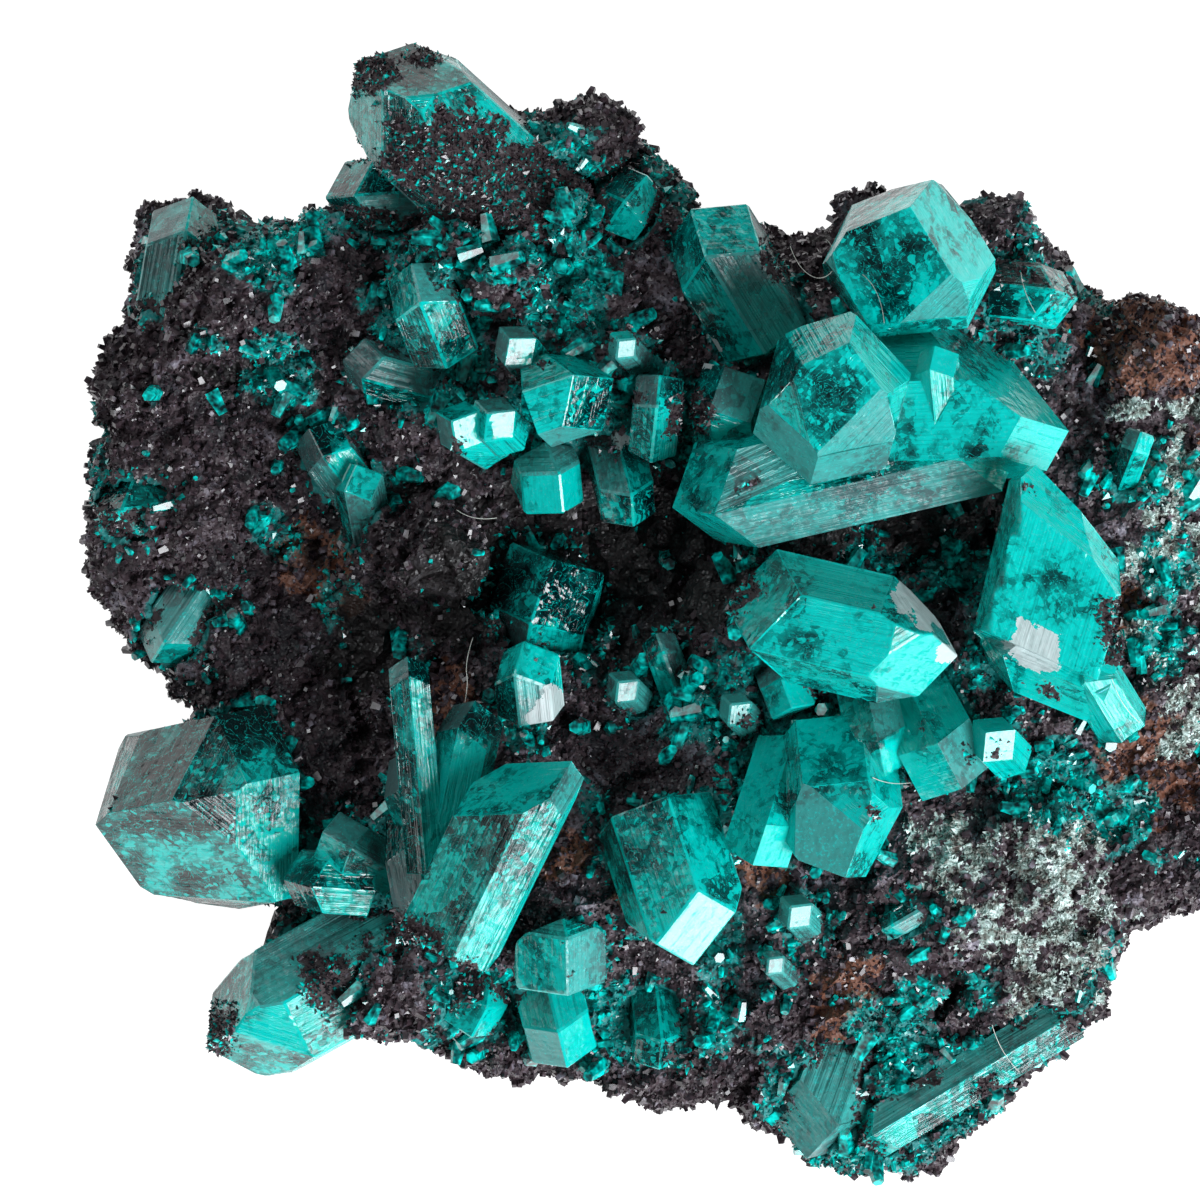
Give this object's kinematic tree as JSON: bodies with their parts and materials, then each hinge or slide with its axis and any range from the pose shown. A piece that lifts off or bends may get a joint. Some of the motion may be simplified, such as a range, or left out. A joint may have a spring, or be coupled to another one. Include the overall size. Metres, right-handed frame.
{
  "type": "dioptase crystal specimen",
  "caption": "Blue-green dioptase crystals standing on a piece of dark, drusy matrix that rests on a flat trimmed base.",
  "frame": {"origin": "middle of the flat base, under the middle of the specimen's bounding box", "axes": "+Z up, out of the crystal-covered side; +X to the right and +Y up in the picture, which looks straight down on the specimen"},
  "size_m": [0.0632, 0.0562, 0.0255],
  "materials": {
    "matrix_rock": "rough, drusy and sparkling",
    "dioptase": "vitreous, with striated prism faces"
  },
  "bodies": {
    "root": {"matrix": "matrix_rock", "lower_left_crystal": "dioptase", "bottom_left_prism": "dioptase", "centre_spray": "dioptase", "crown_crystals": "dioptase", "upper_right_crystal": "dioptase", "right_group": "dioptase", "middle_crystal": "dioptase", "right_crystals": "dioptase", "lower_middle_group": "dioptase", "bright_faced_crystal": "dioptase", "hollow_crystal": "dioptase", "striped_crystal": "dioptase", "upper_left_pair": "dioptase", "upper_ridge_crystal": "dioptase", "upper_left_crystal": "dioptase", "far_left_crystal": "dioptase", "right_short_prism": "dioptase", "lower_dark_crystal": "dioptase", "lower_bright_crystal": "dioptase", "bottom_crystals": "dioptase", "left_foot_crystals": "dioptase", "upper_striped_crystals": "dioptase", "upper_small_tile": "dioptase", "pointed_crystal": "dioptase", "hollow_roof_crystal": "dioptase", "hollow_roof_twin": "dioptase", "hollow_edge_crystal": "dioptase", "hollow_edge_tile": "dioptase", "centre_tile": "dioptase", "small_upright_crystal": "dioptase", "left_wedge_crystal": "dioptase", "left_edge_crystal": "dioptase", "middle_small_crystal": "dioptase", "low_prism": "dioptase", "left_band_crystals": "dioptase", "ledge_crystal": "dioptase", "upper_edge_crystal": "dioptase", "low_white_tile": "dioptase", "lower_edge_crystal": "dioptase", "lower_edge_twin": "dioptase", "low_small_tile": "dioptase"}
  },
  "joints": []
}
